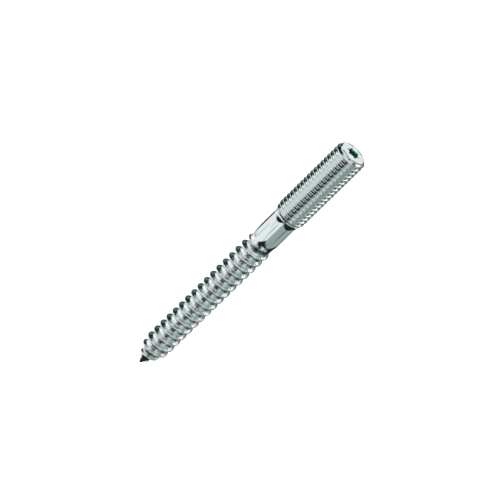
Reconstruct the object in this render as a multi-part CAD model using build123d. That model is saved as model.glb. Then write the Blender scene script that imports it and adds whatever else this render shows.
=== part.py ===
from build123d import *
import os
from math import ceil, cos, pi, radians, sin, sqrt, tan

# Hanger bolt: one steel piece with a wood screw thread, a hexagon to turn it by and a
# metric machine thread with a six-lobed socket in its end face. Both threads are
# right-hand helices: a ridge rolled up from the wood core, and a groove cut in the rod.
# It is built along X from the tip of the wood point, which is at x = 0.
# Angles about the axis run from +Y towards +Z. Sizes are millimetres.

# ---- Lengths along the bolt ----
overall_length = 100.0
machine_thread_length = 29.9
hexagon_length = 10.1
neck_length = 1.7

# ---- Machine thread, coarse metric ----
machine_diameter = 10.0
machine_pitch = 1.5
machine_crest_width = 0.1875
machine_groove_depth = 0.92
machine_start_angle = 198.0
machine_start_lift = 0.4
end_chamfer = 0.94

# ---- Wood thread ----
wood_diameter = 9.0
wood_core_diameter = 6.6
wood_pitch = 3.0
wood_crest_width = 0.3
wood_flank_angle = 31.0
wood_start = 1.3
wood_start_angle = 70.0
wood_start_height = 0.15
wood_growth_turns = 0.35
wood_fade_length = 2.8
wood_fade_into_neck = 1.0

# ---- Wood point ----
tip_radius = 0.5
core_point_angle = 22.5
crest_point_angle = 27.0
crest_point_length = 7.5
crest_point_blend = 10.0

# ---- Hexagon and neck ----
across_flats = 7.8
blank_diameter = 8.9
neck_diameter = 7.7
neck_shoulder_angle = 14.0
run_out_angle = 18.0
run_out_before_thread = 1.0

# ---- Six-lobed socket, size 25 ----
socket_point_diameter = 4.5
socket_waist_diameter = 3.25
socket_lobe_radius = 0.375
socket_depth = 2.7
socket_cone_angle = 60.0

# ---- How the helices are drawn, and how far one solid runs into or past another ----
pieces_per_turn = 2
stations_per_piece = 8
sink = 0.2

# ---- Places along X and radii that follow ----
machine_start = overall_length - machine_thread_length
hexagon_start = machine_start - hexagon_length
neck_start = hexagon_start - neck_length
wood_end = neck_start + wood_fade_into_neck

machine_radius = machine_diameter / 2
machine_root_radius = machine_radius - machine_groove_depth
wood_radius = wood_diameter / 2
core_radius = wood_core_diameter / 2
blank_radius = blank_diameter / 2
neck_radius = neck_diameter / 2


def smooth(share):
    """Rises gently from 0 to 1 as share does."""
    share = min(max(share, 0.0), 1.0)
    return share * share * (3 - 2 * share)


def core_radius_at(x):
    """Radius of the plain core: the point's cone, the core, and the rise to the neck."""
    slope = tan(radians(core_point_angle))
    tangent_x = tip_radius * (1 - sin(radians(core_point_angle)))
    tangent_radius = tip_radius * cos(radians(core_point_angle))
    point = tangent_radius + (x - tangent_x) * slope
    rise = neck_radius - (neck_start - x) * tan(radians(neck_shoulder_angle))
    return max(min(point, core_radius), min(rise, neck_radius))


def crest_radius_at(x):
    """Radius of the wood thread's crest: a cone blended into the full diameter."""
    slope = tan(radians(crest_point_angle))
    blend_reach = crest_point_blend * tan(radians(crest_point_angle) / 2)
    blend_end = crest_point_length + blend_reach
    blend_start = crest_point_length - blend_reach * cos(radians(crest_point_angle))
    if x < blend_start:
        return wood_radius - (crest_point_length - x) * slope
    if x < blend_end:
        drop = crest_point_blend - sqrt(crest_point_blend**2 - (blend_end - x) ** 2)
        return wood_radius - drop
    return wood_radius


def helical_pieces(corners_at, turns, start_angle):
    """What a section sweeps as it turns about the axis, in pieces of about half a turn.

    corners_at(turn) gives the corners of the section as pairs of x and radius. The corners'
    paths are splines, and each long face is ruled between two neighbouring paths.
    """

    def corner_place(corner, turn):
        x, radius = corners_at(turn)[corner]
        angle = radians(start_angle) + 2 * pi * turn
        return Vector(x, radius * cos(angle), radius * sin(angle))

    def path(corner, stations, step):
        points = [corner_place(corner, turn) for turn in stations]
        nudge = step / 100
        tangents = []
        for turn in (stations[0], stations[-1]):
            ahead = corner_place(corner, turn + nudge)
            behind = corner_place(corner, turn - nudge)
            tangents.append((ahead - behind) * step / (2 * nudge))
        counts = list(range(len(points)))
        return Edge.make_spline(points, tangents=tangents, parameters=counts, scale=False)

    pieces = []
    piece_count = ceil(turns * pieces_per_turn)
    step = turns / piece_count / stations_per_piece
    corners = range(len(corners_at(0)))
    for k in range(piece_count):
        stations = [step * (k * stations_per_piece + n) for n in range(stations_per_piece + 1)]
        paths = [path(corner, stations, step) for corner in corners]
        faces = [Face.make_surface_from_curves(paths[n - 1], paths[n]) for n in corners]
        for turn in (stations[0], stations[-1]):
            outline = [corner_place(corner, turn) for corner in corners]
            faces.append(Face(Wire.make_polygon(outline, close=True)))
        pieces.append(Solid(Shell(faces)))
    return pieces


def run_out_x_at(radius):
    """Where the cone that rises from the flats to the machine thread's crests has a radius."""
    foot_x = machine_start - run_out_before_thread
    return foot_x + (radius - across_flats / 2) / tan(radians(run_out_angle))


def turned_rod():
    """The round rod that everything sits on, from the blunt tip to the chamfered end face."""
    slope = tan(radians(core_point_angle))
    tip_x = tip_radius * (1 - sin(radians(core_point_angle)))
    tip_r = tip_radius * cos(radians(core_point_angle))
    core_x = tip_x + (core_radius - tip_r) / slope
    rise_x = neck_start - (neck_radius - core_radius) / tan(radians(neck_shoulder_angle))
    mid_angle = radians(90 + core_point_angle) / 2
    tip_mid = (tip_radius * (1 - cos(mid_angle)), tip_radius * sin(mid_angle))
    outline = [
        (tip_x, tip_r),
        (core_x, core_radius),
        (rise_x, core_radius),
        (neck_start, neck_radius),
        (run_out_x_at(neck_radius), neck_radius),
        (run_out_x_at(machine_radius), machine_radius),
        (overall_length - end_chamfer, machine_radius),
        (overall_length, machine_radius - end_chamfer),
        (overall_length, 0),
        (0, 0),
    ]
    with BuildSketch(Plane.XY) as profile:
        with BuildLine():
            Polyline(*outline)
            ThreePointArc((0, 0), tip_mid, (tip_x, tip_r))
        make_face()
    return revolve(profile.sketch, Axis.X)


def hexagon():
    """The hexagon: a round bar with a coned shoulder towards the neck, cut to six flats."""
    slope = tan(radians(neck_shoulder_angle))
    start_x = hexagon_start - (across_flats / 2 - core_radius) / slope
    shoulder_x = hexagon_start + (blank_radius - across_flats / 2) / slope
    end_x = run_out_x_at(blank_radius) + sink
    bar_outline = [
        (start_x, 0),
        (start_x, core_radius),
        (shoulder_x, blank_radius),
        (end_x, blank_radius),
        (end_x, 0),
    ]
    with BuildSketch(Plane.XY) as profile:
        with BuildLine():
            Polyline(*bar_outline, close=True)
        make_face()
    bar = revolve(profile.sketch, Axis.X)
    six_sides = RegularPolygon(across_flats / 2, 6, major_radius=False, rotation=30)
    return bar & extrude(Plane.YZ * six_sides, overall_length)


def machine_groove():
    """The machine thread's groove, with a sharp root that sinks to full depth in its first turn."""
    flank = (machine_pitch - machine_crest_width) / 2 / machine_groove_depth
    mouth_radius = machine_radius + machine_crest_width / 4

    def corners_at(turn):
        x = machine_start + machine_pitch * turn
        root = machine_root_radius + machine_start_lift * (1 - smooth(turn))
        mouth = (mouth_radius - root) * flank
        return [(x - mouth, mouth_radius), (x, root), (x + mouth, mouth_radius)]

    turns = machine_thread_length / machine_pitch + 1
    return helical_pieces(corners_at, turns, machine_start_angle)


def wood_ridge():
    """The helical ridge of the wood thread, growing out of the point and fading at the neck."""
    flank = tan(radians(wood_flank_angle))
    half_crest = wood_crest_width / 2
    fade_drop = wood_radius - neck_radius - wood_start_height

    def corners_at(turn):
        x = wood_start + wood_pitch * turn
        core = core_radius_at(x)
        grown = smooth(turn / wood_growth_turns)
        faded = max(0.0, 1 - (wood_end - x) / wood_fade_length)
        height = wood_start_height + (crest_radius_at(x) - core - wood_start_height) * grown
        crest = core + height - fade_drop * faded**2
        foot = half_crest + (crest - core + sink) * flank
        return [
            (x - foot, core_radius_at(x - foot) - sink),
            (x - half_crest, crest),
            (x + half_crest, crest),
            (x + foot, core_radius_at(x + foot) - sink),
        ]

    turns = (wood_end - wood_start) / wood_pitch
    return helical_pieces(corners_at, turns, wood_start_angle)


def polar(radius, angle):
    """A point in the plane of the end face."""
    return (radius * cos(radians(angle)), radius * sin(radians(angle)))


def socket_cutter():
    """The six-lobed socket: lobes and waists as tangent arcs, with a coned bottom."""
    lobe_centre = socket_point_diameter / 2 - socket_lobe_radius
    waist = socket_waist_diameter / 2
    waist_radius = (
        socket_lobe_radius**2 - lobe_centre**2 - waist**2 + sqrt(3) * lobe_centre * waist
    ) / (2 * waist - sqrt(3) * lobe_centre - 2 * socket_lobe_radius)
    waist_centre = waist + waist_radius
    share = socket_lobe_radius / (socket_lobe_radius + waist_radius)
    with BuildSketch(Plane.YZ.offset(overall_length)) as star:
        with BuildLine():
            for angle in range(0, 360, 60):
                middle = Vector(polar(lobe_centre, angle))
                before = middle + (Vector(polar(waist_centre, angle - 30)) - middle) * share
                after = middle + (Vector(polar(waist_centre, angle + 30)) - middle) * share
                lobe_tip = polar(socket_point_diameter / 2, angle)
                ThreePointArc(before, lobe_tip, after)
                next_middle = Vector(polar(lobe_centre, angle + 60))
                to_waist = Vector(polar(waist_centre, angle + 30)) - next_middle
                ThreePointArc(after, polar(waist, angle + 30), next_middle + to_waist * share)
        make_face()
    walls = extrude(star.sketch, -socket_depth)
    cone_depth = waist / tan(radians(socket_cone_angle))
    bottom_x = overall_length - socket_depth
    with BuildSketch(Plane.XY) as cone_profile:
        with BuildLine():
            Polyline((bottom_x, 0), (bottom_x, waist), (bottom_x - cone_depth, 0), close=True)
        make_face()
    return walls + revolve(cone_profile.sketch, Axis.X)


def hanger_bolt():
    """The finished bolt, moved so that it lies on z = 0 with its middle over the origin."""
    body = turned_rod() + hexagon()
    body = body.cut(*machine_groove())
    body = body.fuse(*wood_ridge())
    body = body - socket_cutter()
    return Pos(-overall_length / 2, 0, machine_radius) * body


os.makedirs("parts", exist_ok=True)
export_step(hanger_bolt(), "parts/hanger_bolt.step")
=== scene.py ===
from math import cos, pi, radians, sin, sqrt, tan

import bmesh
import bpy
import numpy as np
from mathutils import Matrix, Vector


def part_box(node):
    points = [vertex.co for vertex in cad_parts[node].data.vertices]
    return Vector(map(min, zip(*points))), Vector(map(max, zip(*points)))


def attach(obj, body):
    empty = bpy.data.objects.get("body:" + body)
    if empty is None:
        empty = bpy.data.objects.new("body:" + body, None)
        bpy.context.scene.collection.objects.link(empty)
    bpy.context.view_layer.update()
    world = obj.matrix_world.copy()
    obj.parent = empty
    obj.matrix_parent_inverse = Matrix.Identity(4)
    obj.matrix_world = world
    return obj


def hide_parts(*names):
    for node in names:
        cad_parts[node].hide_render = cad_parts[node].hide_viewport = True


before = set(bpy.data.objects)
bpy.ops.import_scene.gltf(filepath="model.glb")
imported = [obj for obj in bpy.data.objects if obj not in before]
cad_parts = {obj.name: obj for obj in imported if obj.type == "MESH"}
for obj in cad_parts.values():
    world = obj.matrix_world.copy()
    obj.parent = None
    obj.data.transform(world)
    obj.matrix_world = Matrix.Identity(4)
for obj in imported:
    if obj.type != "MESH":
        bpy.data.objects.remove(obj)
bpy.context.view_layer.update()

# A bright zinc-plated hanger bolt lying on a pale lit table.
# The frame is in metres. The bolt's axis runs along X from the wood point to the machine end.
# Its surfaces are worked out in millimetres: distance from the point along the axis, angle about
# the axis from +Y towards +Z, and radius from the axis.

bolt_low, bolt_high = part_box("hanger_bolt")

MM = 0.001
FULL_TURN = 2 * pi
LENGTH = (bolt_high.x - bolt_low.x) / MM
MACHINE_RADIUS = (bolt_high.z - bolt_low.z) / 2 / MM
AXIS_HEIGHT = (bolt_high.z + bolt_low.z) / 2

# ---- Wood thread ----
WOOD_RADIUS = 4.5
CORE_RADIUS = 3.3
WOOD_PITCH = 3.0
WOOD_CREST = 0.16
WOOD_FLANK = radians(31)
WOOD_START = 1.3
WOOD_START_ANGLE = radians(70)
WOOD_GROWTH = 0.35
WOOD_FADE = 2.8
WOOD_END = 59.3
CREST_ROUNDING = 0.16
ROOT_FILLET = 0.22

# ---- Point ----
TIP_RADIUS = 0.5
CORE_POINT = radians(22.5)
CORE_BLEND = 0.3
CREST_POINT = radians(27)
CREST_POINT_LENGTH = 7.5
CREST_POINT_BLEND = 10.0

# ---- Neck and hexagon ----
NECK_RADIUS = 3.85
NECK_START = 58.3
SHOULDER = radians(14)
HEXAGON_START = 60.0
FLAT_DISTANCE = 3.9
BLANK_RADIUS = 4.45
EDGE_ROUNDING = 0.10
CORNER_LIFT = 0.02
CORNER_ROUNDING = 0.04

# ---- Machine thread ----
MACHINE_START = 70.1
MACHINE_PITCH = 1.5
MACHINE_ROOT = 4.08
MACHINE_ROOT_HALF = 0.10
MACHINE_ROUNDING = 0.14
MACHINE_FLANK = radians(30)
MACHINE_START_ANGLE = radians(198)
MACHINE_START_LIFT = 0.4
RUN_OUT_START = 69.1
RUN_OUT = radians(18)
CYLINDER_ROUNDING = 0.1
END_CHAMFER = 0.94
END_ROUNDING = 0.03
FACE_EDGE = 0.05
FACE_RING = 3.0

# ---- Six-lobed socket ----
SOCKET_POINT = 2.25
SOCKET_WAIST = 1.625
SOCKET_LOBE = 0.375
SOCKET_DEPTH = 2.7
SOCKET_CONE = radians(60)
SOCKET_EDGE = 0.05

# ---- Grid ----
ANGLE_STEPS = 120
ANGLES = np.arange(ANGLE_STEPS) * FULL_TURN / ANGLE_STEPS
WOOD_GRID_END = HEXAGON_START - 0.3
MACHINE_GRID_START = 69.7
TIP_ROWS = 7
SHOULDER_END = 62.6
SHOULDER_STEP = 0.08
FLAT_STEP = 0.4
CONE_START = 65
CONE_STEP = 0.1
WOOD_ROWS = (0.12, 0.20, 0.28, 0.5, 0.74, 0.87, 1.0, 1.22)
MACHINE_ROWS = (0.07, 0.15, 0.33, 0.50, 0.57, 0.64)
SAME_POINT = 2e-8
SHARP_EDGE = radians(40)

# ---- Finish ----
ZINC = (0.76, 0.79, 0.785, 1)
DARK_LINE = (0.42, 0.47, 0.47, 1)
# The colour inside the socket is painted shade with a teal painted reflection, darker and greener
# than the zinc.
SOCKET_PAINTED_SHADE = (0.40, 0.66, 0.56, 1)
ROUGH_LOW = 0.05
ROUGH_HIGH = 0.16
BUMP_STRENGTH = 0.8
BUMP_HEIGHT = 0.2 * MM
MOTTLE_SCALE = 1300.0
LINE_SCALE = 2600.0
LINE_SHARE = 0.1
LINE_STRETCH = 0.03
LINE_EDGE = 0.44
LINE_HEART = 0.34
CLOUD_SCALE = 500.0
WOOD_MARKS_FADE = 2 * MM
LINE_MARKS_FADE = 1 * MM

# ---- Table and light ----
# Each soft box has a name, a bearing from +X towards +Y, a rise over the table, a half width and
# how far its soft edge reaches to either side of that, all in degrees, and a colour.
TABLE_REACH = 3.0
TABLE_GREY = (0.5, 0.5, 0.5, 1)
TABLE_ROUGHNESS = 0.9
TABLE_LIGHT = (1, 1, 1, 1)
TABLE_GLOW = 0.93
ROOM_LIGHT = (0.02, 0.033, 0.031)
SOFT_BOXES = (
    ("back", 95, 20, 44, 6, (0.76, 0.79, 0.79)),
    ("back_of_point", 118, 38, 28, 6, (0.06, 0.05, 0.08)),
    ("low_back", 130, -32, 32, 6, (0.60, 0.62, 0.62)),
    ("front", -75, 30, 45, 6, (0.35, 0.41, 0.41)),
    ("front_of_point", -134, 48, 15, 6, (0.56, 0.60, 0.58)),
    ("end", 10, 22, 38, 6, (0.66, 0.70, 0.70)),
    ("over", 135, 74, 10, 5, (0.9, 0.9, 0.9)),
    ("low_end", -37, -24, 16, 5, (1.1, 1.1, 1.1)),
    ("under_end", -15, -62, 14, 5, (0.82, 0.82, 0.85)),
    ("under_front", -95, -50, 25, 6, (0.18, 0.18, 0.18)),
    ("under_back", 60, -70, 12, 6, (0.20, 0.21, 0.21)),
    ("low_front", -62, -36, 14, 6, (0.22, 0.21, 0.20)),
    ("low_side", 56, -10, 14, 5, (0.40, 0.42, 0.42)),
)

# ---- Camera ----
# It leans from overhead towards +X, then sideways, and is rolled about its line of sight.
CAMERA_LEAN = radians(27.4)
CAMERA_SIDE = radians(6)
CAMERA_ROLL = radians(44.34)
CAMERA_DISTANCE = 0.687
CAMERA_LENS = 167.0
CAMERA_SENSOR = 36
CAMERA_CLIP = 0.01
AIM_X = 0.00395
AIM_ACROSS = 0.0009
AIM_ALONG = 0.000167


def rising(share):
    """Goes from 0 to 1 with flat ends: three shares squared less two shares cubed."""
    share = np.clip(share, 0, 1)
    return share * share * (3 - 2 * share)


def greater(a, b, rounding):
    """The greater of two surfaces, filleted where they meet over that difference in height."""
    share = np.clip(0.5 + 0.5 * (a - b) / rounding, 0, 1)
    return b + (a - b) * share + rounding * share * (1 - share)


def lesser(a, b, rounding):
    """The lesser of two surfaces, with the edge where they meet rounded over."""
    return -greater(-a, -b, rounding)


def tip_radius(x):
    """The rounded tip: a ball that touches the end of the axis."""
    return np.sqrt(np.clip(TIP_RADIUS**2 - (TIP_RADIUS - x) ** 2, 0, None))


def core_radius(x):
    """The plain core under the wood thread: a cone at the point, a rod, a cone up to the neck."""
    touch = TIP_RADIUS * (1 - sin(CORE_POINT))
    point = TIP_RADIUS * cos(CORE_POINT) + (x - touch) * tan(CORE_POINT)
    rise = NECK_RADIUS - (NECK_START - x) * tan(SHOULDER)
    rod = lesser(point, CORE_RADIUS, CORE_BLEND)
    return greater(rod, np.minimum(rise, NECK_RADIUS), EDGE_ROUNDING)


def blank_radius(x, angle):
    """The bolt before its threads: the core and neck, six flats on a round bar with a coned
    shoulder, and the cylinder that a cone rises to and a chamfer ends."""
    from_flat = (angle + pi / 6) % (pi / 3) - pi / 6
    flats = FLAT_DISTANCE / np.cos(from_flat)
    shoulder = FLAT_DISTANCE + (x - HEXAGON_START) * tan(SHOULDER)
    six_sides = lesser(flats, BLANK_RADIUS + CORNER_LIFT, CORNER_ROUNDING)
    bar = lesser(six_sides, shoulder, EDGE_ROUNDING)
    run_out = FLAT_DISTANCE + (x - RUN_OUT_START) * tan(RUN_OUT)
    chamfer = MACHINE_RADIUS - END_CHAMFER + (LENGTH - x)
    rod = lesser(run_out, MACHINE_RADIUS, CYLINDER_ROUNDING)
    cylinder = lesser(rod, chamfer, CYLINDER_ROUNDING)
    return greater(greater(bar, core_radius(x), EDGE_ROUNDING), cylinder, EDGE_ROUNDING)


def crest_radius(x):
    """The wood thread's crest: a cone at the point, an arc tangent to it, then a cylinder."""
    reach = CREST_POINT_BLEND * tan(CREST_POINT / 2)
    blend_end = CREST_POINT_LENGTH + reach
    blend_start = CREST_POINT_LENGTH - reach * cos(CREST_POINT)
    cone = WOOD_RADIUS - (CREST_POINT_LENGTH - x) * tan(CREST_POINT)
    inside = np.clip(blend_end - x, 0, CREST_POINT_BLEND * sin(CREST_POINT))
    arc = WOOD_RADIUS - CREST_POINT_BLEND + np.sqrt(CREST_POINT_BLEND**2 - inside**2)
    return np.where(x < blend_start, cone, arc)


def off_helix(x, angle, start, start_angle, pitch):
    """Distance along the axis from the nearest turn of a right-hand helix."""
    turn = (x - start) / pitch - (angle - start_angle) / FULL_TURN
    return (turn - np.round(turn)) * pitch


def wood_radius(x, angle):
    """The wood thread: a ridge with a rounded crest and straight flanks, filleted into the core.
    It rises out of the point in its first third of a turn and sinks into the neck."""
    away = off_helix(x, angle, WOOD_START, WOOD_START_ANGLE, WOOD_PITCH)
    centre = x - away
    core = core_radius(centre)
    grown = rising((centre - WOOD_START) / WOOD_PITCH / WOOD_GROWTH)
    faded = np.clip(1 - (WOOD_END - centre) / WOOD_FADE, 0, 1)
    height = crest_radius(centre) - core + 2 * ROOT_FILLET
    crest = core - 2 * ROOT_FILLET + height * grown * (1 - faded**2)
    flank = crest - (np.abs(away) - WOOD_CREST) / tan(WOOD_FLANK)
    return greater(lesser(flank, crest, CREST_ROUNDING), blank_radius(x, angle), ROOT_FILLET)


def machine_radius(x, angle):
    """The machine thread: a groove with straight flanks and a rounded root in the blank, sinking
    to its full depth in the first turn."""
    away = off_helix(x, angle, MACHINE_START, MACHINE_START_ANGLE, MACHINE_PITCH)
    centre = x - away
    turns = (centre - MACHINE_START) / MACHINE_PITCH
    root = MACHINE_ROOT + MACHINE_START_LIFT * (1 - rising(turns)) - np.minimum(turns, 0)
    flank = root + (np.abs(away) - MACHINE_ROOT_HALF) / tan(MACHINE_FLANK)
    groove = greater(flank, root, MACHINE_ROUNDING)
    return lesser(groove, blank_radius(x, angle), MACHINE_ROUNDING)


def socket_radius(angle):
    """The socket's outline: six lobe arcs, and six waist arcs tangent to them."""
    from_lobe = np.abs((angle + pi / 6) % (pi / 3) - pi / 6)
    from_waist = pi / 6 - from_lobe
    lobe_centre = SOCKET_POINT - SOCKET_LOBE
    slanted = sqrt(3) * lobe_centre
    spread = SOCKET_LOBE**2 - lobe_centre**2 - SOCKET_WAIST**2 + slanted * SOCKET_WAIST
    waist_arc = spread / (2 * SOCKET_WAIST - slanted - 2 * SOCKET_LOBE)
    waist_centre = SOCKET_WAIST + waist_arc
    lobe_rest = np.clip(SOCKET_LOBE**2 - (lobe_centre * np.sin(from_lobe)) ** 2, 0, None)
    lobe = lobe_centre * np.cos(from_lobe) + np.sqrt(lobe_rest)
    waist_rest = np.clip(waist_arc**2 - (waist_centre * np.sin(from_waist)) ** 2, 0, None)
    waist = waist_centre * np.cos(from_waist) - np.sqrt(waist_rest)
    share = SOCKET_LOBE / (SOCKET_LOBE + waist_arc)
    touch_y = share * waist_centre * sin(pi / 6)
    touch_x = lobe_centre + share * (waist_centre * cos(pi / 6) - lobe_centre)
    return np.where(from_lobe < np.arctan2(touch_y, touch_x), lobe, waist)


def straight_rows(distances):
    """Rows square to the axis at these distances along it."""
    return np.repeat(np.asarray(distances, float)[:, None], ANGLE_STEPS, axis=1)


def helical_rows(start, end, pitch, lead_angle, offsets):
    """Rows at these offsets from a thread's helix on each of its turns. A row climbs one pitch
    in a turn. Past the start and the end it stays on their circles."""
    first = np.floor((start - offsets.max()) / pitch) - 1
    turns = np.arange(first, np.ceil(end / pitch) + 2) * pitch
    rows = (turns[:, None] + offsets[None, :]).ravel()
    climb = (ANGLES - lead_angle) / FULL_TURN * pitch
    return np.clip(rows[:, None] + climb[None, :], start, end)


def skin(rows, radii, rows_per_turn=0):
    """Points and four-sided faces over a grid of rows and angles. A point lies at its row's
    distance along the axis, y = radius times cos(angle) and z = radius times sin(angle). The last
    angle joins the first one, a turn's worth of rows further on."""
    points = np.stack((rows, radii * np.cos(ANGLES), radii * np.sin(ANGLES)), axis=-1)
    last = len(rows) - 1
    row, column = np.meshgrid(np.arange(last), np.arange(ANGLE_STEPS), indexing="ij")
    jump = np.where(column == ANGLE_STEPS - 1, rows_per_turn, 0)
    beside = (column + 1) % ANGLE_STEPS
    corners = (
        row * ANGLE_STEPS + column,
        np.minimum(row + jump, last) * ANGLE_STEPS + beside,
        np.minimum(row + 1 + jump, last) * ANGLE_STEPS + beside,
        (row + 1) * ANGLE_STEPS + column,
    )
    return points.reshape(-1, 3), np.stack(corners, axis=-1).reshape(-1, 4)


def tip_skin():
    """The rounded tip, up to where its ball touches the point's cone."""
    turned = np.linspace(0, pi / 2 - CORE_POINT, TIP_ROWS)
    rows = straight_rows(TIP_RADIUS * (1 - np.cos(turned)))
    return skin(rows, tip_radius(rows))


def wood_skin():
    """The wood thread, with rows close together on its crest and at its roots."""
    half = np.array(WOOD_ROWS)
    offsets = WOOD_START + np.concatenate((-half[::-1], [0], half, [WOOD_PITCH / 2]))
    start = TIP_RADIUS * (1 - sin(CORE_POINT))
    rows = helical_rows(start, WOOD_GRID_END, WOOD_PITCH, WOOD_START_ANGLE, offsets)
    return skin(rows, wood_radius(rows, ANGLES), len(offsets))


def hexagon_skin():
    """The hexagon, with rows close together at its arched shoulder and at the thread's cone."""
    shoulder = np.arange(WOOD_GRID_END, SHOULDER_END, SHOULDER_STEP)
    flats = np.arange(SHOULDER_END, CONE_START, FLAT_STEP)
    cone = np.arange(CONE_START, MACHINE_GRID_START, CONE_STEP)
    rows = straight_rows(np.concatenate((shoulder, flats, cone, [MACHINE_GRID_START])))
    return skin(rows, blank_radius(rows, ANGLES))


def machine_skin():
    """The machine thread, with rows close together at its root and on its crest."""
    half = np.array(MACHINE_ROWS)
    offsets = MACHINE_START + np.concatenate((-half[::-1], [0], half, [MACHINE_PITCH / 2]))
    end = LENGTH - END_ROUNDING
    rows = helical_rows(MACHINE_GRID_START, end, MACHINE_PITCH, MACHINE_START_ANGLE, offsets)
    return skin(rows, machine_radius(rows, ANGLES), len(offsets))


def end_skin():
    """The end face, the socket's rim, wall and floor, and the drilled cone under the floor."""
    outline = socket_radius(ANGLES)
    face = np.ones(ANGLE_STEPS)
    cone_depth = SOCKET_WAIST / tan(SOCKET_CONE)
    rings = (
        (END_ROUNDING, machine_radius(LENGTH - END_ROUNDING, ANGLES)),
        (0, face * (MACHINE_RADIUS - END_CHAMFER - FACE_EDGE)),
        (0, face * FACE_RING),
        (0, outline + SOCKET_EDGE),
        (SOCKET_EDGE, outline),
        (SOCKET_DEPTH / 2, outline),
        (SOCKET_DEPTH, outline),
        (SOCKET_DEPTH, np.minimum(outline, SOCKET_WAIST)),
        (SOCKET_DEPTH + cone_depth / 2, face * SOCKET_WAIST / 2),
        (SOCKET_DEPTH + cone_depth, face * 0),
    )
    rows = straight_rows([LENGTH - depth for depth, _ in rings])
    return skin(rows, np.stack([radii for _, radii in rings]))


def bolt_mesh():
    """The bolt's whole skin, its stretches joined where their rings meet."""
    mesh = bpy.data.meshes.new("bolt")
    shape = bmesh.new()
    points = []
    faces = []
    count = 0
    skins = (tip_skin(), wood_skin(), hexagon_skin(), machine_skin(), end_skin())
    for part_points, part_faces in skins:
        points.append(part_points)
        faces.append(part_faces + count)
        count += len(part_points)
    places = np.concatenate(points) * MM + np.array([bolt_low.x, 0, AXIS_HEIGHT])
    mesh.from_pydata(places.tolist(), [], np.concatenate(faces).tolist())
    shape.from_mesh(mesh)
    bmesh.ops.remove_doubles(shape, verts=shape.verts, dist=SAME_POINT)
    bmesh.ops.recalc_face_normals(shape, faces=shape.faces)
    shape.to_mesh(mesh)
    shape.free()
    mesh.shade_smooth()
    mesh.set_sharp_from_angle(angle=SHARP_EDGE)
    return mesh


def node(tree, kind, inputs=None, **settings):
    """A new node with these settings and these numbers in its sockets."""
    made = tree.nodes.new(kind)
    for name, value in settings.items():
        setattr(made, name, value)
    for name, value in (inputs or {}).items():
        made.inputs[name].default_value = value
    return made


def drawn_and_rolled():
    """Shared surface marks, as a node group. Its height is a mottle on the wood thread and fine
    lines along the hexagon. Its streaks go from 0 to 1 on the darkest of those lines, and its
    clouds are soft patches from 0 to 1."""
    group = bpy.data.node_groups.new("drawn_and_rolled", "ShaderNodeTree")
    group.interface.new_socket("Place", in_out="INPUT", socket_type="NodeSocketVector")
    group.interface.new_socket("Height", in_out="OUTPUT", socket_type="NodeSocketFloat")
    group.interface.new_socket("Streaks", in_out="OUTPUT", socket_type="NodeSocketFloat")
    group.interface.new_socket("Clouds", in_out="OUTPUT", socket_type="NodeSocketFloat")
    links = group.links
    place = group.nodes.new("NodeGroupInput")
    result = group.nodes.new("NodeGroupOutput")
    parts = node(group, "ShaderNodeSeparateXYZ")
    links.new(place.outputs["Place"], parts.inputs["Vector"])

    hexagon_x = bolt_low.x + HEXAGON_START * MM
    thread_x = bolt_low.x + MACHINE_START * MM
    on_wood = node(group, "ShaderNodeMapRange", {
        "From Min": hexagon_x, "From Max": hexagon_x - WOOD_MARKS_FADE, "To Min": 0, "To Max": 1})
    links.new(parts.outputs["X"], on_wood.inputs["Value"])
    before_thread = node(group, "ShaderNodeMapRange", {
        "From Min": thread_x, "From Max": thread_x - LINE_MARKS_FADE, "To Min": 0, "To Max": 1})
    links.new(parts.outputs["X"], before_thread.inputs["Value"])
    on_hexagon = node(group, "ShaderNodeMath", operation="SUBTRACT")
    links.new(before_thread.outputs["Result"], on_hexagon.inputs[0])
    links.new(on_wood.outputs["Result"], on_hexagon.inputs[1])

    mottle = node(group, "ShaderNodeTexNoise", {"Scale": MOTTLE_SCALE, "Detail": 4.0})
    links.new(place.outputs["Place"], mottle.inputs["Vector"])
    stretched = node(group, "ShaderNodeVectorMath", {1: (LINE_STRETCH, 1, 1)}, operation="MULTIPLY")
    links.new(place.outputs["Place"], stretched.inputs[0])
    lines = node(group, "ShaderNodeTexNoise", {"Scale": LINE_SCALE, "Detail": 3.0})
    links.new(stretched.outputs["Vector"], lines.inputs["Vector"])

    mottled = node(group, "ShaderNodeMath", operation="MULTIPLY")
    links.new(mottle.outputs["Fac"], mottled.inputs[0])
    links.new(on_wood.outputs["Result"], mottled.inputs[1])
    lined = node(group, "ShaderNodeMath", operation="MULTIPLY")
    links.new(lines.outputs["Fac"], lined.inputs[0])
    links.new(on_hexagon.outputs["Value"], lined.inputs[1])
    height = node(group, "ShaderNodeMath", {1: LINE_SHARE}, operation="MULTIPLY_ADD")
    links.new(lined.outputs["Value"], height.inputs[0])
    links.new(mottled.outputs["Value"], height.inputs[2])
    links.new(height.outputs["Value"], result.inputs["Height"])

    deep = node(group, "ShaderNodeMapRange", {
        "From Min": LINE_EDGE, "From Max": LINE_HEART, "To Min": 0, "To Max": 1})
    links.new(lines.outputs["Fac"], deep.inputs["Value"])
    streaks = node(group, "ShaderNodeMath", operation="MULTIPLY")
    links.new(deep.outputs["Result"], streaks.inputs[0])
    links.new(on_hexagon.outputs["Value"], streaks.inputs[1])
    links.new(streaks.outputs["Value"], result.inputs["Streaks"])

    clouds = node(group, "ShaderNodeTexNoise", {"Scale": CLOUD_SCALE, "Detail": 2.0})
    links.new(place.outputs["Place"], clouds.inputs["Vector"])
    links.new(clouds.outputs["Fac"], result.inputs["Clouds"])
    return group


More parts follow.
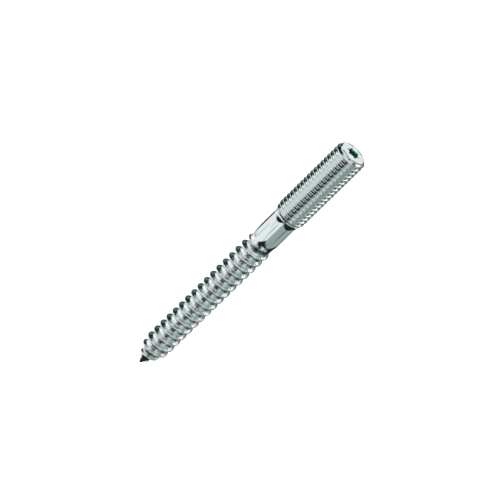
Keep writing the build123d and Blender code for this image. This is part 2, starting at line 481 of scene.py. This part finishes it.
def socket_recess():
    """Where the socket is, as a node group, which masks the painted shade there: 1 inside it and 0
    on the end face and elsewhere. It compares the distance from the axis with the socket's, and the
    depth with the end face's."""
    group = bpy.data.node_groups.new("socket_recess", "ShaderNodeTree")
    group.interface.new_socket("Place", in_out="INPUT", socket_type="NodeSocketVector")
    group.interface.new_socket("Inside", in_out="OUTPUT", socket_type="NodeSocketFloat")
    links = group.links
    place = group.nodes.new("NodeGroupInput")
    result = group.nodes.new("NodeGroupOutput")
    floor_x = bolt_high.x - (SOCKET_DEPTH + 1) * MM
    off_axis = node(group, "ShaderNodeVectorMath", {1: (0, 0, AXIS_HEIGHT)}, operation="SUBTRACT")
    links.new(place.outputs["Place"], off_axis.inputs[0])
    across = node(group, "ShaderNodeVectorMath", {1: (0, 1, 1)}, operation="MULTIPLY")
    links.new(off_axis.outputs["Vector"], across.inputs[0])
    radius = node(group, "ShaderNodeVectorMath", operation="LENGTH")
    links.new(across.outputs["Vector"], radius.inputs[0])
    widest = (SOCKET_POINT + SOCKET_EDGE) * MM
    near_axis = node(group, "ShaderNodeMath", {1: widest}, operation="LESS_THAN")
    links.new(radius.outputs["Value"], near_axis.inputs[0])
    parts = node(group, "ShaderNodeSeparateXYZ")
    links.new(place.outputs["Place"], parts.inputs["Vector"])
    under_face = node(group, "ShaderNodeMapRange", {
        "From Min": bolt_high.x, "From Max": bolt_high.x - 0.2 * MM, "To Min": 0, "To Max": 1})
    links.new(parts.outputs["X"], under_face.inputs["Value"])
    past_floor = node(group, "ShaderNodeMath", {1: floor_x}, operation="GREATER_THAN")
    links.new(parts.outputs["X"], past_floor.inputs[0])
    deep = node(group, "ShaderNodeMath", operation="MULTIPLY")
    links.new(under_face.outputs["Result"], deep.inputs[0])
    links.new(past_floor.outputs["Value"], deep.inputs[1])
    inside = node(group, "ShaderNodeMath", operation="MULTIPLY")
    links.new(deep.outputs["Value"], inside.inputs[0])
    links.new(near_axis.outputs["Value"], inside.inputs[1])
    links.new(inside.outputs["Value"], result.inputs["Inside"])
    return group


def zinc_plate():
    """Bright zinc on steel: metal with a faint cool cast, its gloss clouded, its wood thread
    slightly mottled by rolling, its hexagon finely lined by drawing, its socket painted darker and
    greener as painted shade with a teal painted reflection."""
    material = bpy.data.materials.new("zinc_plate")
    material.use_nodes = True
    tree = material.node_tree
    shader = tree.nodes["Principled BSDF"]
    shader.inputs["Metallic"].default_value = 1.0
    place = node(tree, "ShaderNodeTexCoord")
    marks = node(tree, "ShaderNodeGroup", node_tree=drawn_and_rolled())
    tree.links.new(place.outputs["Object"], marks.inputs["Place"])
    recess = node(tree, "ShaderNodeGroup", node_tree=socket_recess())
    tree.links.new(place.outputs["Object"], recess.inputs["Place"])
    streaked = node(tree, "ShaderNodeMix", {6: ZINC, 7: DARK_LINE}, data_type="RGBA")
    tree.links.new(marks.outputs["Streaks"], streaked.inputs[0])
    # Inside the socket the zinc gives way to the painted shade with its teal painted reflection.
    color = node(tree, "ShaderNodeMix", {7: SOCKET_PAINTED_SHADE}, data_type="RGBA")
    tree.links.new(recess.outputs["Inside"], color.inputs[0])
    tree.links.new(streaked.outputs[2], color.inputs[6])
    tree.links.new(color.outputs[2], shader.inputs["Base Color"])
    gloss = node(tree, "ShaderNodeMapRange", {"To Min": ROUGH_LOW, "To Max": ROUGH_HIGH})
    tree.links.new(marks.outputs["Clouds"], gloss.inputs["Value"])
    tree.links.new(gloss.outputs["Result"], shader.inputs["Roughness"])
    bump = node(tree, "ShaderNodeBump", {"Strength": BUMP_STRENGTH, "Distance": BUMP_HEIGHT})
    tree.links.new(marks.outputs["Height"], bump.inputs["Height"])
    tree.links.new(bump.outputs["Normal"], shader.inputs["Normal"])
    return material


def add_bolt():
    """The one piece, in the place of the frame's solid."""
    mesh = bolt_mesh()
    mesh.materials.append(zinc_plate())
    bolt = bpy.data.objects.new("bolt", mesh)
    bpy.context.scene.collection.objects.link(bolt)
    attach(bolt, "root")
    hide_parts("hanger_bolt")


def add_table():
    """A pale table top lit from within, far wider than the view. The metal mirrors the studio
    around it instead, and light from below passes through."""
    reach = TABLE_REACH
    corners = [(-reach, -reach, 0), (reach, -reach, 0), (reach, reach, 0), (-reach, reach, 0)]
    mesh = bpy.data.meshes.new("table_top")
    mesh.from_pydata(corners, [], [(0, 1, 2, 3)])
    material = bpy.data.materials.new("lit_white")
    material.use_nodes = True
    shader = material.node_tree.nodes["Principled BSDF"]
    shader.inputs["Base Color"].default_value = TABLE_GREY
    shader.inputs["Roughness"].default_value = TABLE_ROUGHNESS
    shader.inputs["Specular IOR Level"].default_value = 0.0
    shader.inputs["Emission Color"].default_value = TABLE_LIGHT
    shader.inputs["Emission Strength"].default_value = TABLE_GLOW
    mesh.materials.append(material)
    table = bpy.data.objects.new("table_top", mesh)
    bpy.context.scene.collection.objects.link(table)
    table.visible_glossy = False
    table.visible_shadow = False


def soft_box():
    """A round soft box of light in the studio, as a node group. Its light is its colour times a
    smooth step of the angle between the look direction and its centre."""
    group = bpy.data.node_groups.new("soft_box", "ShaderNodeTree")
    for name, kind in (("Look", "Vector"), ("Centre", "Vector"), ("Inner", "Float"),
                       ("Outer", "Float"), ("Color", "Vector"), ("Before", "Vector")):
        group.interface.new_socket(name, in_out="INPUT", socket_type="NodeSocket" + kind)
    group.interface.new_socket("Light", in_out="OUTPUT", socket_type="NodeSocketVector")
    links = group.links
    given = group.nodes.new("NodeGroupInput")
    result = group.nodes.new("NodeGroupOutput")
    facing = node(group, "ShaderNodeVectorMath", operation="DOT_PRODUCT")
    links.new(given.outputs["Look"], facing.inputs[0])
    links.new(given.outputs["Centre"], facing.inputs[1])
    away = node(group, "ShaderNodeMath", operation="ARCCOSINE")
    links.new(facing.outputs["Value"], away.inputs[0])
    step = node(group, "ShaderNodeMapRange", {"To Min": 1.0, "To Max": 0.0},
                interpolation_type="SMOOTHSTEP")
    links.new(away.outputs["Value"], step.inputs["Value"])
    links.new(given.outputs["Inner"], step.inputs["From Min"])
    links.new(given.outputs["Outer"], step.inputs["From Max"])
    lit = node(group, "ShaderNodeVectorMath", operation="SCALE")
    links.new(given.outputs["Color"], lit.inputs[0])
    links.new(step.outputs["Result"], lit.inputs["Scale"])
    total = node(group, "ShaderNodeVectorMath", operation="ADD")
    links.new(lit.outputs["Vector"], total.inputs[0])
    links.new(given.outputs["Before"], total.inputs[1])
    links.new(total.outputs["Vector"], result.inputs["Light"])
    return group


def add_studio():
    """A dim room with a soft box of light for each row of SOFT_BOXES, added one to the next."""
    world = bpy.data.worlds.new("studio")
    world.use_nodes = True
    tree = world.node_tree
    look = node(tree, "ShaderNodeTexCoord")
    group = soft_box()
    before = None
    for name, bearing, rise, half_width, edge, color in SOFT_BOXES:
        bearing, rise = radians(bearing), radians(rise)
        centre = (cos(rise) * cos(bearing), cos(rise) * sin(bearing), sin(rise))
        box = node(tree, "ShaderNodeGroup", node_tree=group, label=name)
        box.inputs["Centre"].default_value = centre
        box.inputs["Inner"].default_value = radians(half_width - edge)
        box.inputs["Outer"].default_value = radians(half_width + edge)
        box.inputs["Color"].default_value = color
        tree.links.new(look.outputs["Generated"], box.inputs["Look"])
        if before is None:
            box.inputs["Before"].default_value = ROOM_LIGHT
        else:
            tree.links.new(before.outputs["Light"], box.inputs["Before"])
        before = box
    tree.links.new(before.outputs["Light"], tree.nodes["Background"].inputs["Color"])
    bpy.context.scene.world = world


def add_camera():
    """Looks down on the bolt from over its machine end, turned so that the bolt climbs to the
    right."""
    down = cos(CAMERA_LEAN)
    level = sin(CAMERA_LEAN)
    towards = Vector((level, down * sin(CAMERA_SIDE), down * cos(CAMERA_SIDE)))
    along = Vector((down, -level * sin(CAMERA_SIDE), -level * cos(CAMERA_SIDE)))
    across = Vector((0, cos(CAMERA_SIDE), -sin(CAMERA_SIDE)))
    right = along * cos(CAMERA_ROLL) - across * sin(CAMERA_ROLL)
    up = along * sin(CAMERA_ROLL) + across * cos(CAMERA_ROLL)
    aim = Vector((AIM_X, 0, AXIS_HEIGHT)) + across * AIM_ACROSS + (right + up) * AIM_ALONG
    camera = bpy.data.objects.new("camera", bpy.data.cameras.new("camera"))
    camera.data.lens = CAMERA_LENS
    camera.data.sensor_width = CAMERA_SENSOR
    camera.data.clip_start = CAMERA_CLIP
    turn = Matrix((right, up, towards)).transposed().to_4x4()
    camera.matrix_world = Matrix.Translation(aim + towards * CAMERA_DISTANCE) @ turn
    bpy.context.scene.collection.objects.link(camera)
    bpy.context.scene.camera = camera


add_bolt()
add_table()
add_studio()
add_camera()
bpy.context.scene.view_settings.view_transform = "Standard"
bpy.context.scene.view_settings.look = "Medium High Contrast"
